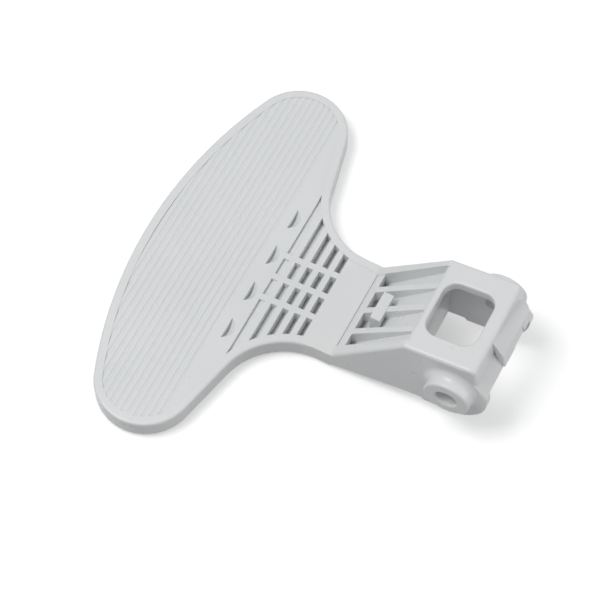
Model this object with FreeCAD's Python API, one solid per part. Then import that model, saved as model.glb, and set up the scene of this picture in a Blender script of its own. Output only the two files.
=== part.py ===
import FreeCAD, Part
import math
import os

from FreeCAD import Vector

# Pull lever of a front-loading appliance door, ribbed rear side up, in millimetres.
# Model space: +X along the pivot axis, +Y towards the grip, +Z towards the ribbed side.
# While it is modelled, y = 0 is the foot of the ramp and z = 0 is the top of the rim.
# The finished pieces are moved so that the origin is the middle of the pivot axis.

# Grip, in plan
grip_width = 140.0
crown_y = 76.7
tip_radius = 17.0
tip_y = 49.0
neck_half_width = 18.6
neck_fillet_radius = 24.2
neck_fillet_y = 4.4

# Grip, through its thickness
grip_thickness = 9.0
rear_plate = 3.2
rim_width = 3.0
field_recess = 0.2
rim_edge_radius = 0.9
cover_wall = 2.0
cover_gap = 0.2
cover_edge_radius = 2.5
seam_start_y = 8.5
seam_end_y = 1.0

# Fine grooves across the grip, with sloping sides
groove_pitch = 2.325
groove_width = 1.7
groove_depth = 0.45
groove_steep_side = 0.6
first_groove_y = 39.4
groove_count = 16

# Deep channels across the neck, with three ribs along the lever
channel_pitch = 4.25
channel_width = 2.2
first_channel_y = 13.1
channel_depths = (5.0, 4.8, 4.3, 3.3, 1.4)
channel_floor_rise = 0.6
long_rib_spacing = 8.6
long_rib_width = 2.2
long_rib_lean = 0.06
throat_end_y = 37.0
neck_underside = 6.8

# Row of short sloped pockets between the channels and the grooves
pocket_centre_x = -2.0
pocket_y = 34.6
pocket_length = 9.0
pocket_span = 2.8
pocket_depth = 3.0
pocket_spacing = 15.4
pocket_count = 4

# Hinge block, in its own tilted axes: u towards the grip, v up, both from the pivot
pivot_y = -42.3
pivot_z = 15.0
block_tilt = math.radians(8.5)
block_half_width = 17.6
block_top = 14.7
block_bottom = -16.3
arm_bottom = -15.0
bend_u = 15.75
end_u = -8.9
heel_u = -11.8
end_edge_radius = 2.0
arm_edge_radius = 1.2
bottom_step_u = 10.5
chamber_front_y = -26.7
side_wall = 2.8
top_wall = 3.4
end_wall = 2.6
end_wall_bottom = 0.3

# Window in the top of the block
window_u = (-4.3, 13.2)
window_x = (-9.9, 10.1)
window_radius = 4.6
window_edge_radius = 0.8

# Pivot bosses
boss_radius = 7.9
boss_standoff = 4.7
boss_edge_radius = 0.8
boss_root_radius = 2.6
bore_radius = 3.6
bore_chamfer = 0.5

# Swelling on the end wall
swell_x = (-4.6, 15.4)
swell_top = (13.0, 9.0)
swell_full = (6.5, 5.0)
swell_u = -12.4
swell_notch_x = (3.2, 9.8)
swell_notch_height = 4.0
swell_edge_radius = 0.5

# Ramp between the neck and the block
ramp_foot_y = -1.0
pad_edge_y = -3.4
ramp_rib_foot_y = -0.5
ramp_rib_slope = 1.0
ramp_floor_foot = -4.0
ramp_floor_slope = 1.25
ramp_floor_wall = 2.2
ramp_hollow_y = (-24.4, -8.0)
ramp_end_radius = 1.8
cross_bar_x = 5.2
cross_bar_y = (-11.0, -7.5)
cross_bar_top = 10.7

far = 100.0


def block_point(u, v):
    """Point of the block's tilted axes as (y, z) in model space."""
    y = pivot_y + u * math.cos(block_tilt) + v * math.sin(block_tilt)
    z = pivot_z - u * math.sin(block_tilt) + v * math.cos(block_tilt)
    return y, z


def plane_height(y, v):
    """Height in model space, at y, of the plane that lies v above the pivot in the block's axes."""
    return pivot_z - (y - pivot_y) * math.tan(block_tilt) + v / math.cos(block_tilt)


def polar(centre, radius, angle):
    return Vector(centre[0] + radius * math.cos(angle), centre[1] + radius * math.sin(angle), 0)


def mirrored(point):
    return Vector(-point.x, point.y, point.z)


def prism_along_x(profile, x0, x1, through=None):
    """Solid of a closed (y, z) outline between two x planes.

    The run that starts at corner i is straight, or an arc through the point through[i].
    """
    points = [Vector(x0, y, z) for y, z in profile]
    edges = []
    for i, start in enumerate(points):
        stop = points[(i + 1) % len(points)]
        if through and i in through:
            edges.append(Part.Arc(start, Vector(x0, *through[i]), stop).toShape())
        else:
            edges.append(Part.LineSegment(start, stop).toShape())
    return Part.Face(Part.Wire(edges)).extrude(Vector(x1 - x0, 0, 0))


def rounded_corner(before, corner, after, radius):
    """Start, middle and end of the arc that rounds a corner of a (y, z) outline."""
    arm_a = (before[0] - corner[0], before[1] - corner[1])
    arm_b = (after[0] - corner[0], after[1] - corner[1])
    length_a = math.hypot(*arm_a)
    length_b = math.hypot(*arm_b)
    cosine = (arm_a[0] * arm_b[0] + arm_a[1] * arm_b[1]) / (length_a * length_b)
    half = math.acos(cosine) / 2
    tangent = radius / math.tan(half)
    start = (corner[0] + arm_a[0] / length_a * tangent, corner[1] + arm_a[1] / length_a * tangent)
    end = (corner[0] + arm_b[0] / length_b * tangent, corner[1] + arm_b[1] / length_b * tangent)
    inwards = (start[0] + end[0] - 2 * corner[0], start[1] + end[1] - 2 * corner[1])
    depth = radius / math.sin(half) - radius
    scale = depth / math.hypot(*inwards)
    middle = (corner[0] + inwards[0] * scale, corner[1] + inwards[1] * scale)
    return start, middle, end


def prism_along_z(points, z0, z1):
    """Solid of a closed (x, y) polygon between two z planes."""
    corners = [Vector(x, y, z0) for x, y in points]
    face = Part.Face(Part.makePolygon(corners + corners[:1]))
    return face.extrude(Vector(0, 0, z1 - z0))


def box(x, y, z):
    """Box from three (low, high) pairs."""
    return Part.makeBox(x[1] - x[0], y[1] - y[0], z[1] - z[0], Vector(x[0], y[0], z[0]))


def grip_outline(inset, y_end, z):
    """Closed plan outline of grip and neck, moved inwards by inset and cut off square at y_end."""
    tip = (grip_width / 2 - tip_radius, tip_y)
    fillet = (neck_half_width + neck_fillet_radius, neck_fillet_y)
    rise = crown_y - tip_y
    crown_radius = (tip[0] ** 2 + rise ** 2 - tip_radius ** 2) / (2 * (rise - tip_radius))
    crown = (0.0, crown_y - crown_radius)
    crown_angle = math.atan2(tip[1] - crown[1], tip[0] - crown[0])
    gap = math.hypot(fillet[0] - tip[0], fillet[1] - tip[1])
    centre_line = math.atan2(fillet[1] - tip[1], fillet[0] - tip[0])
    flank = centre_line + math.acos((tip_radius + neck_fillet_radius) / gap)
    tip_r = tip_radius - inset
    fillet_r = neck_fillet_radius + inset

    neck_low = Vector(neck_half_width - inset, y_end, 0)
    neck_top = polar(fillet, fillet_r, math.pi)
    fillet_mid = polar(fillet, fillet_r, (math.pi + flank + math.pi) / 2)
    fillet_end = polar(fillet, fillet_r, flank + math.pi)
    tip_start = polar(tip, tip_r, flank)
    tip_mid = polar(tip, tip_r, (flank + crown_angle) / 2)
    tip_end = polar(tip, tip_r, crown_angle)
    apex = Vector(0, crown_y - inset, 0)

    half = [
        (neck_low, neck_top),
        (neck_top, fillet_mid, fillet_end),
        (fillet_end, tip_start),
        (tip_start, tip_mid, tip_end),
    ]
    runs = list(half)
    runs.append((tip_end, apex, mirrored(tip_end)))
    for run in reversed(half):
        runs.append(tuple(mirrored(point) for point in reversed(run)))
    runs.append((mirrored(neck_low), neck_low))
    edges = []
    for run in runs:
        curve = Part.LineSegment(*run) if len(run) == 2 else Part.Arc(*run)
        edges.append(curve.toShape())
    wire = Part.Wire(edges)
    wire.translate(Vector(0, 0, z))
    return wire


def grip_slab(inset, y_end, z0, z1):
    face = Part.Face(grip_outline(inset, y_end, z0))
    return face.extrude(Vector(0, 0, z1 - z0))


def edges_at_z(shape, z, y_min):
    """Edges that lie in the plane z and run beyond y_min."""
    found = []
    for edge in shape.Edges:
        bounds = edge.BoundBox
        if abs(bounds.ZMin - z) < 0.01 and abs(bounds.ZMax - z) < 0.01 and bounds.YMax > y_min:
            found.append(edge)
    return found


def neck_bottom():
    """Height of the arm's underside where the cover's seam runs out."""
    y, z = block_point(bottom_step_u, arm_bottom)
    return z - (seam_end_y - y) * math.tan(block_tilt)


def arm_blank():
    """Wide prism with the side profile of the ramp and the hinge block."""
    top_edge = rounded_corner(
        block_point(0, block_top), block_point(end_u, block_top), block_point(end_u, 0), end_edge_radius
    )
    corners = [
        (seam_start_y, 0.0),
        (0.0, 0.0),
        block_point(bend_u, block_top),
        top_edge[0],
        top_edge[2],
        block_point(end_u, 6.0),
        block_point(heel_u, 0.0),
        block_point(-1.5, block_bottom),
        block_point(bottom_step_u + 0.8, block_bottom),
        block_point(bottom_step_u + 1.6, arm_bottom),
        (seam_end_y, neck_bottom()),
        (seam_start_y, -rear_plate),
    ]
    arcs = {3: top_edge[1], 6: block_point(-8.1, -11.6)}
    return prism_along_x(corners, -far, far, arcs)


def block_prism(u0, u1, v0, v1, x0, x1):
    """Box in the block's tilted axes."""
    profile = [block_point(u, v) for u, v in ((u0, v0), (u1, v0), (u1, v1), (u0, v1))]
    return prism_along_x(profile, x0, x1)


def arm_outside():
    """Ramp and hinge block as one solid piece, narrowing a little towards the block."""
    bend_y = block_point(bend_u, block_top)[0]
    plan = [
        (2 * neck_half_width, far),
        (2 * neck_half_width, seam_end_y),
        (neck_half_width, seam_end_y),
        (block_half_width, bend_y),
        (block_half_width, -far),
    ]
    plan += [(-x, y) for x, y in reversed(plan)]
    neck = grip_slab(0.0, -far, -far, far)
    solid = arm_blank().common(prism_along_z(plan, -far, far)).common(neck)
    return solid.makeFillet(arm_edge_radius, upper_side_edges(solid))


def upper_side_edges(solid):
    """Edges along both sides of the arm: ramp, top of the block and upper half of the end wall."""
    found = []
    for edge in solid.Edges:
        middle = edge.valueAt((edge.FirstParameter + edge.LastParameter) / 2)
        along_side = edge.BoundBox.XLength < 1.2 and abs(middle.x) > block_half_width - 0.1
        if along_side and middle.y < -5 and (middle.z > pivot_z or middle.z > -middle.y):
            found.append(edge)
    return found


def chamber():
    """Hollow of the hinge block, open at the bottom and below the end wall."""
    x0 = -block_half_width + side_wall
    x1 = block_half_width - side_wall
    top = block_top - top_wall
    room = prism_along_x(
        [
            (chamber_front_y, -far),
            (chamber_front_y, plane_height(chamber_front_y, top)),
            block_point(end_u + end_wall, top),
            block_point(end_u + end_wall, 6.0),
            block_point(heel_u + end_wall, 0.0),
            block_point(heel_u + end_wall, -far),
        ],
        x0,
        x1,
    )
    below = block_prism(-far, heel_u + end_wall + 1, -far, end_wall_bottom, x0, x1)
    return room.fuse(below)


def window():
    """Round-cornered window through the top of the block."""
    blank = block_prism(window_u[0], window_u[1], 0.0, block_top + 5, window_x[0], window_x[1])
    upright = []
    for edge in blank.Edges:
        bounds = edge.BoundBox
        if bounds.XLength < 0.01 and bounds.ZLength > 10:
            upright.append(edge)
    return blank.makeFillet(window_radius, upright)


def window_edges(solid):
    """Upper edges of the window, which lie in the top of the block."""
    low_y = block_point(window_u[0], block_top)[0] - 0.1
    high_y = block_point(window_u[1], block_top)[0] + 0.1
    found = []
    for edge in solid.Edges:
        bounds = edge.BoundBox
        middle = edge.valueAt((edge.FirstParameter + edge.LastParameter) / 2)
        over_window = bounds.YMin > low_y and bounds.YMax < high_y and abs(middle.x) < block_half_width / 1.5
        if over_window and abs(middle.z - plane_height(middle.y, block_top)) < 0.01:
            found.append(edge)
    return found


def ramp_floor(y):
    """Height of the floor between the ribs of the ramp."""
    return ramp_floor_foot + (pad_edge_y - y) * ramp_floor_slope


def ramp_channels():
    """Open channels between the side walls and the ribs of the ramp."""
    bend_y = block_point(bend_u, block_top)[0]
    profile = [
        (pad_edge_y, far),
        (pad_edge_y, ramp_floor_foot),
        (bend_y, ramp_floor(bend_y)),
        (bend_y, far),
    ]
    rib = long_rib_width / 2
    inside = block_half_width - side_wall
    lanes = [(-inside, -long_rib_spacing - rib), (-long_rib_spacing + rib, -rib)]
    lanes += [(-b, -a) for a, b in lanes]
    return [prism_along_x(profile, a, b) for a, b in lanes]


def above_ramp_ribs():
    """Space over the ribs of the ramp, which rise less steeply than its side walls."""
    bend = block_point(bend_u, block_top)
    rib_top = (bend[0], (ramp_rib_foot_y - bend[0]) * ramp_rib_slope)
    start, middle, end = rounded_corner(rib_top, bend, block_point(0, block_top), ramp_end_radius)
    profile = [(ramp_rib_foot_y, 0.0), rib_top, start, end, (end[0], far), (ramp_rib_foot_y, far)]
    inside = block_half_width - side_wall
    return prism_along_x(profile, -inside, inside, {2: middle})


def ramp_hollow():
    """Hollow under the ramp, open at the bottom, which leaves an even wall."""
    low_y, high_y = ramp_hollow_y
    drop = ramp_floor_wall * math.hypot(1, ramp_floor_slope)
    profile = [
        (low_y, -far),
        (low_y, ramp_floor(low_y) - drop),
        (high_y, ramp_floor(high_y) - drop),
        (high_y, -far),
    ]
    inside = block_half_width - side_wall
    return prism_along_x(profile, -inside, inside)


def cross_bar():
    """Bar across the middle rib of the ramp, on a wall that stands on the floor."""
    low_y, high_y = cross_bar_y
    profile = [
        (low_y, cross_bar_top),
        (high_y, cross_bar_top),
        (high_y, ramp_floor(high_y) - 1),
        (low_y, ramp_floor(low_y) - 1),
    ]
    return prism_along_x(profile, -cross_bar_x, cross_bar_x)


def end_swelling():
    """Thickened lower part of the end wall, with a notch in its lower edge."""
    sections = []
    for x, top, full in zip(swell_x, swell_top, swell_full):
        profile = [
            block_point(end_u + 1, top + 1.0),
            block_point(end_u, top),
            block_point(swell_u + 0.4, full),
            block_point(swell_u, end_wall_bottom),
            block_point(heel_u + 1, end_wall_bottom),
        ]
        points = [Vector(x, y, z) for y, z in profile]
        sections.append(Part.makePolygon(points + points[:1]))
    swelling = Part.makeLoft(sections, True, True)
    outer = [edge for edge in swelling.Edges if edge.CenterOfMass.y < block_point(end_u - 0.7, 0)[0]]
    swelling = swelling.makeFillet(swell_edge_radius, outer)
    notch = block_prism(
        -far, heel_u - 0.2, -far, end_wall_bottom + swell_notch_height, *swell_notch_x
    )
    return swelling.cut(notch)


def boss_pair():
    """Round bosses on both sides, on the pivot axis, with a fillet at the root."""
    root = block_half_width
    face = root + boss_standoff
    inner = root - side_wall / 2
    turn = math.sqrt(0.5)
    root_mid = Vector(root + boss_root_radius * (1 - turn), boss_radius + boss_root_radius * (1 - turn), 0)
    edge_mid = Vector(face - boss_edge_radius * (1 - turn), boss_radius - boss_edge_radius * (1 - turn), 0)
    a = Vector(inner, 0, 0)
    b = Vector(inner, boss_radius + boss_root_radius, 0)
    c = Vector(root, boss_radius + boss_root_radius, 0)
    d = Vector(root + boss_root_radius, boss_radius, 0)
    e = Vector(face - boss_edge_radius, boss_radius, 0)
    f = Vector(face, boss_radius - boss_edge_radius, 0)
    g = Vector(face, 0, 0)
    edges = [
        Part.LineSegment(a, b).toShape(),
        Part.LineSegment(b, c).toShape(),
        Part.Arc(c, root_mid, d).toShape(),
        Part.LineSegment(d, e).toShape(),
        Part.Arc(e, edge_mid, f).toShape(),
        Part.LineSegment(f, g).toShape(),
        Part.LineSegment(g, a).toShape(),
    ]
    boss = Part.Face(Part.Wire(edges)).revolve(Vector(0, 0, 0), Vector(1, 0, 0), 360)
    boss.translate(Vector(0, pivot_y, pivot_z))
    return [boss, boss.mirror(Vector(0, 0, 0), Vector(1, 0, 0))]


def pivot_bore():
    """Bore through both bosses, with a chamfer at each mouth."""
    reach = block_half_width + boss_standoff
    axis = Vector(1, 0, 0)
    tools = [Part.makeCylinder(bore_radius, 2 * reach + 2, Vector(-reach - 1, pivot_y, pivot_z), axis)]
    for side in (-1, 1):
        mouth = Vector(side * (reach - bore_chamfer), pivot_y, pivot_z)
        length = 2 * bore_chamfer
        tools.append(Part.makeCone(bore_radius, bore_radius + length, length, mouth, axis * side))
    return tools


def throat_channels():
    """Deep channels across the neck, split by three slightly leaning ribs.

    The floors rise towards the ramp.
    """
    tools = []
    rib = long_rib_width / 2
    limit = grip_slab(rim_width, ramp_foot_y, -far, far)
    for i, depth in enumerate(channel_depths):
        high_y = first_channel_y + i * channel_pitch
        span = (high_y - channel_width, high_y)
        floor = -field_recess - depth
        profile = [
            (span[0], 1.0),
            (span[0], floor + depth * channel_floor_rise),
            (span[1], floor),
            (span[1], 1.0),
        ]
        middle = -long_rib_lean * (high_y - first_channel_y)
        ribs = [middle - long_rib_spacing, middle, middle + long_rib_spacing]
        starts = [-far] + [x + rib for x in ribs]
        ends = [x - rib for x in ribs] + [far]
        for x0, x1 in zip(starts, ends):
            tools.append(prism_along_x(profile, x0, x1).common(limit))
    return tools


def sloped_pockets():
    """Row of short scoops, deepest at their high-y end, whose floors rise towards the neck."""
    tools = []
    slope = pocket_depth / pocket_span
    scoop_radius = (pocket_length ** 2 / 4 + pocket_depth ** 2) / (2 * pocket_depth)
    direction = Vector(0, -1, slope)
    above = math.hypot(1, slope) * scoop_radius
    for i in range(pocket_count):
        centre = pocket_centre_x + (i - (pocket_count - 1) / 2) * pocket_spacing
        deepest = Vector(centre, pocket_y, -field_recess - pocket_depth + above)
        start = deepest - direction * 5
        scoop = Part.makeCylinder(scoop_radius, 20, start, direction)
        room = box((-far, far), (pocket_y - 2 * pocket_span, pocket_y), (-far, 1.0))
        tools.append(scoop.common(room))
    return tools


def fine_grooves():
    """Shallow grooves across the grip, ending at the rim, each steeper on its high-y side."""
    limit = grip_slab(rim_width, ramp_foot_y, -far, far)
    tools = []
    for i in range(groove_count):
        high_y = first_groove_y + i * groove_pitch
        profile = [
            (high_y - groove_width, -field_recess),
            (high_y - groove_steep_side, -field_recess - groove_depth),
            (high_y, -field_recess),
            (high_y, 1.0),
            (high_y - groove_width, 1.0),
        ]
        tools.append(prism_along_x(profile, -far, far).common(limit))
    return tools


def lever_body():
    """Rear moulding: ribbed grip plate, neck, ramp, hinge block and pivot bosses."""
    plate = grip_slab(0.0, 0.0, -rear_plate, 0.0)
    plate = plate.makeFillet(rim_edge_radius, edges_at_z(plate, 0.0, neck_fillet_y + 1))
    inner = cover_wall + cover_gap
    trough = grip_slab(inner, -0.5, -neck_underside, -rear_plate)
    trough = trough.common(box((-far, far), (-far, throat_end_y), (-far, far)))
    body = plate.fuse([trough, arm_outside()])
    body = body.cut([chamber(), ramp_hollow()])
    body = body.cut(ramp_channels() + [above_ramp_ribs()])
    body = body.fuse([cross_bar(), end_swelling()] + boss_pair())
    body = body.cut([window()] + pivot_bore())
    body = body.makeFillet(window_edge_radius, window_edges(body))
    recess = grip_slab(rim_width, ramp_foot_y + 1.0, -field_recess, 1.0)
    body = body.cut([recess] + fine_grooves() + throat_channels() + sloped_pockets())
    return body.removeSplitter()


def front_cover():
    """Front skin of the grip: a shallow tray that closes the plate from the other side."""
    outside = grip_slab(0.0, 0.0, -grip_thickness, -rear_plate)
    outside = outside.makeFillet(cover_edge_radius, edges_at_z(outside, -grip_thickness, neck_fillet_y + 1))
    inside = grip_slab(cover_wall, -far, -grip_thickness + cover_wall, -rear_plate + 1)
    tray = outside.cut(inside)
    above_seam = [
        (seam_start_y, -rear_plate),
        (seam_end_y, neck_bottom() - cover_gap),
        (-1.0, neck_bottom() - cover_gap),
        (-1.0, -rear_plate),
    ]
    taper = [
        (14.0, -grip_thickness - 1),
        (14.0, -grip_thickness),
        (-1.0, -neck_underside - cover_gap - 0.6),
        (-1.0, -grip_thickness - 1),
    ]
    return tray.cut([prism_along_x(above_seam, -far, far), prism_along_x(taper, -far, far)])


os.makedirs("parts", exist_ok=True)
to_pivot = Vector(0, -pivot_y, -pivot_z)
for name, shape in (("lever_body", lever_body()), ("front_cover", front_cover())):
    shape.translate(to_pivot)
    print(name, "valid", shape.isValid(), "solids", len(shape.Solids), "volume", round(shape.Volume, 1))
    shape.exportStep("parts/" + name + ".step")
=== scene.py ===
import math

import bpy
from mathutils import Matrix, Vector


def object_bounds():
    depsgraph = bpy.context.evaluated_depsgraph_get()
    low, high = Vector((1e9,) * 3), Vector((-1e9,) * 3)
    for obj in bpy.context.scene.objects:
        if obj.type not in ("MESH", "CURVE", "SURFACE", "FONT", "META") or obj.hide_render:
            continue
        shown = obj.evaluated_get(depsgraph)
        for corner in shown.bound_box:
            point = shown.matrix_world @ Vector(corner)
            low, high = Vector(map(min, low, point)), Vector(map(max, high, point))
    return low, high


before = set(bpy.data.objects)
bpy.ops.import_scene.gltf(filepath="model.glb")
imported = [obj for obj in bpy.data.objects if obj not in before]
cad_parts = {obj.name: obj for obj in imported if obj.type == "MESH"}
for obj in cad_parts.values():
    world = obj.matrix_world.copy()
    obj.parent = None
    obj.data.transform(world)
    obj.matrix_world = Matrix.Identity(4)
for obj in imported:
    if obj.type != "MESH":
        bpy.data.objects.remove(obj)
cad_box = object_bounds()

MM = 0.001

# Camera: the direction it looks from, its distance, and how far the view is shifted sideways and up
VIEW_AZIMUTH = 298.2
VIEW_ELEVATION = 62.13
VIEW_ROLL = -0.59
VIEW_DISTANCE = 651.0 * MM
VIEW_RIGHT = -18.3 * MM
VIEW_UP = 3.3 * MM
FOCAL_LENGTH = 119.1
# Foot of the ramp at rim height, which the camera is aimed from
AIM = Vector((0.0, 42.3 * MM, -15.0 * MM))

# Lamps, in metres and watts: a large one overhead and a wide, low one towards the hinge block's end
KEY_PLACE = (-0.3, 0.5, 1.25)
KEY_TARGET = (0, 0.04, 0)
KEY_SIZE = 0.55
KEY_POWER = 7.8
FILL_PLACE = (0.3, -1.28, 0.3)
FILL_TARGET = (0, 0, 0)
FILL_SIZE = 0.8
FILL_POWER = 4.4

# Surroundings: SKY_LOW for directions whose Z is up to SKY_LOW_Z, rising to SKY_HIGH straight overhead
SKY_LOW = 0.2
SKY_LOW_Z = -0.3
SKY_HIGH = 0.56
SKY_COLOUR = (0.985, 0.992, 1.0, 1.0)

# Floor: half its width in metres, two close shades, and its own faint glow, which keeps it white
FLOOR_REACH = 3.0
FLOOR_SHADES = ((0.93, 0.93, 0.93), (0.95, 0.95, 0.95))
FLOOR_GLOW = 0.3

# Plastic: two close shades for each piece, and the range of its roughness
BODY_SHADES = ((0.80, 0.81, 0.81), (0.77, 0.785, 0.79))
COVER_SHADES = ((0.81, 0.82, 0.82), (0.78, 0.795, 0.80))
ROUGHNESS = (0.27, 0.36)

# Plastic: how many blotches, waves or grains there are per metre, and how deep they and the light go
FLOW_SCALE = 28.0
WAVE_SCALE = 70.0
GLOSS_SCALE = 210.0
GRAIN_SCALE = 1400.0
SPECKLE_SHARE = 0.25
WAVE_DEPTH = 0.05 * MM
GRAIN_DEPTH = 0.006 * MM
SCATTER_DEPTH = 1.2 * MM


def view_axes(azimuth, elevation, roll):
    """Right, up and backward directions of a camera that looks from an azimuth and elevation."""
    az = math.radians(azimuth)
    el = math.radians(elevation)
    turn = math.radians(roll)
    back = Vector((math.sin(az) * math.cos(el), -math.cos(az) * math.cos(el), math.sin(el)))
    level = Vector((math.cos(az), math.sin(az), 0.0))
    rise = back.cross(level)
    right = level * math.cos(turn) + rise * math.sin(turn)
    up = rise * math.cos(turn) - level * math.sin(turn)
    return right, up, back


def add_camera():
    right, up, back = view_axes(VIEW_AZIMUTH, VIEW_ELEVATION, VIEW_ROLL)
    data = bpy.data.cameras.new("camera")
    data.lens = FOCAL_LENGTH
    data.clip_start = 0.01
    camera = bpy.data.objects.new("camera", data)
    bpy.context.scene.collection.objects.link(camera)
    place = AIM + right * VIEW_RIGHT + up * VIEW_UP + back * VIEW_DISTANCE
    turn = Matrix((right, up, back)).transposed().to_4x4()
    camera.matrix_world = Matrix.Translation(place) @ turn
    bpy.context.scene.camera = camera


class Nodes:
    """Builds a material's node tree with short calls."""

    def __init__(self, name):
        self.material = bpy.data.materials.new(name)
        self.material.use_nodes = True
        self.tree = self.material.node_tree
        self.shader = self.tree.nodes["Principled BSDF"]
        self.place = self.add("ShaderNodeTexCoord").outputs["Object"]

    def add(self, kind, settings=None, **inputs):
        """New node with the given settings; each input gets a value or another node's output."""
        node = self.tree.nodes.new(kind)
        for name, value in (settings or {}).items():
            setattr(node, name, value)
        for name, value in inputs.items():
            self.feed(node.inputs[name], value)
        return node

    def feed(self, socket, value):
        if isinstance(value, bpy.types.NodeSocket):
            self.tree.links.new(value, socket)
        else:
            socket.default_value = value

    def noise(self, scale, detail=2.0, roughness=0.5):
        """Value of a noise texture that stays fixed to the piece."""
        inputs = {"Scale": scale, "Detail": detail, "Roughness": roughness}
        return self.add("ShaderNodeTexNoise", Vector=self.place, **inputs).outputs["Fac"]

    def spread(self, value, low, high):
        """A noise value, mostly 0.3 to 0.7, mapped to the range low to high."""
        node = self.add("ShaderNodeMapRange", Value=value)
        for name, level in (("From Min", 0.3), ("From Max", 0.7), ("To Min", low), ("To Max", high)):
            node.inputs[name].default_value = level
        return node.outputs["Result"]

    def tint(self, amount, first, second):
        """Mix of two colours, each a red, green and blue value or a socket."""
        node = self.add("ShaderNodeMix", {"data_type": "RGBA"})
        self.feed(node.inputs["Factor"], amount)
        colour_inputs = [socket for socket in node.inputs if socket.type == "RGBA"]
        for socket, colour in zip(colour_inputs, (first, second)):
            self.feed(socket, colour if isinstance(colour, bpy.types.NodeSocket) else (*colour, 1.0))
        return next(socket for socket in node.outputs if socket.type == "RGBA")

    def bump(self, height, depth, strength=1.0, normal=None):
        node = self.add("ShaderNodeBump", Height=height, Distance=depth, Strength=strength)
        if normal is not None:
            self.feed(node.inputs["Normal"], normal)
        return node.outputs["Normal"]


def moulded_plastic(name, shades):
    """White moulded plastic: soft gloss, faint flow marks and a fine mould texture."""
    nodes = Nodes(name)
    flow = nodes.noise(FLOW_SCALE, 3.0, 0.55)
    speckle = nodes.noise(GRAIN_SCALE, 2.0, 0.6)
    colour = nodes.tint(nodes.spread(flow, 0.0, 1.0), *shades)
    colour = nodes.tint(nodes.spread(speckle, 0.0, SPECKLE_SHARE), colour, shades[1])
    gloss = nodes.spread(nodes.noise(GLOSS_SCALE, 3.0, 0.6), *ROUGHNESS)
    waves = nodes.bump(nodes.noise(WAVE_SCALE, 1.0, 0.4), WAVE_DEPTH, 0.6)
    grain = nodes.bump(speckle, GRAIN_DEPTH, 0.5, waves)
    shader = nodes.shader
    nodes.feed(shader.inputs["Base Color"], colour)
    nodes.feed(shader.inputs["Roughness"], gloss)
    nodes.feed(shader.inputs["Normal"], grain)
    shader.inputs["IOR"].default_value = 1.5
    shader.inputs["Subsurface Weight"].default_value = 0.25
    shader.inputs["Subsurface Radius"].default_value = (1.0, 0.92, 0.85)
    shader.inputs["Subsurface Scale"].default_value = SCATTER_DEPTH
    return nodes.material


def floor_material():
    """Matt white paper."""
    nodes = Nodes("floor_paper")
    nodes.feed(nodes.shader.inputs["Base Color"], nodes.tint(nodes.noise(3.0), *FLOOR_SHADES))
    nodes.shader.inputs["Roughness"].default_value = 0.9
    nodes.shader.inputs["Emission Color"].default_value = (1.0, 1.0, 1.0, 1.0)
    nodes.shader.inputs["Emission Strength"].default_value = FLOOR_GLOW
    return nodes.material


def add_floor():
    """Flat floor under the part, which throws no light back on the part's sides."""
    z = cad_box[0][2]
    corners = [(x * FLOOR_REACH, y * FLOOR_REACH, z) for x, y in ((-1, -1), (1, -1), (1, 1), (-1, 1))]
    mesh = bpy.data.meshes.new("floor")
    mesh.from_pydata(corners, [], [(0, 1, 2, 3)])
    floor = bpy.data.objects.new("floor", mesh)
    bpy.context.scene.collection.objects.link(floor)
    mesh.materials.append(floor_material())
    floor.visible_diffuse = False


def add_light(name, place, target, size, power):
    data = bpy.data.lights.new(name, "AREA")
    data.size = size
    data.energy = power
    light = bpy.data.objects.new(name, data)
    bpy.context.scene.collection.objects.link(light)
    aim = (Vector(target) - Vector(place)).to_track_quat("-Z", "Y")
    light.matrix_world = Matrix.Translation(place) @ aim.to_matrix().to_4x4()


def add_sky():
    """Soft white surroundings, brightest overhead and dimmest below."""
    world = bpy.data.worlds.new("world")
    world.use_nodes = True
    tree = world.node_tree
    direction = tree.nodes.new("ShaderNodeTexCoord").outputs["Generated"]
    split = tree.nodes.new("ShaderNodeSeparateXYZ")
    ramp = tree.nodes.new("ShaderNodeMapRange")
    ramp.inputs["From Min"].default_value = SKY_LOW_Z
    ramp.inputs["From Max"].default_value = 1.0
    ramp.inputs["To Min"].default_value = SKY_LOW
    ramp.inputs["To Max"].default_value = SKY_HIGH
    background = tree.nodes["Background"]
    background.inputs["Color"].default_value = SKY_COLOUR
    tree.links.new(direction, split.inputs["Vector"])
    tree.links.new(split.outputs["Z"], ramp.inputs["Value"])
    tree.links.new(ramp.outputs["Result"], background.inputs["Strength"])
    bpy.context.scene.world = world


def add_lights():
    add_light("key", KEY_PLACE, KEY_TARGET, KEY_SIZE, KEY_POWER)
    add_light("fill", FILL_PLACE, FILL_TARGET, FILL_SIZE, FILL_POWER)
    add_sky()
    bpy.context.scene.view_settings.view_transform = "Standard"


add_camera()
add_floor()
add_lights()
body_plastic = moulded_plastic("white_plastic", BODY_SHADES)
cover_plastic = moulded_plastic("cover_plastic", COVER_SHADES)
for node_name, material in (("lever_body", body_plastic), ("front_cover", cover_plastic)):
    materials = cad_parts[node_name].data.materials
    materials.clear()
    materials.append(material)
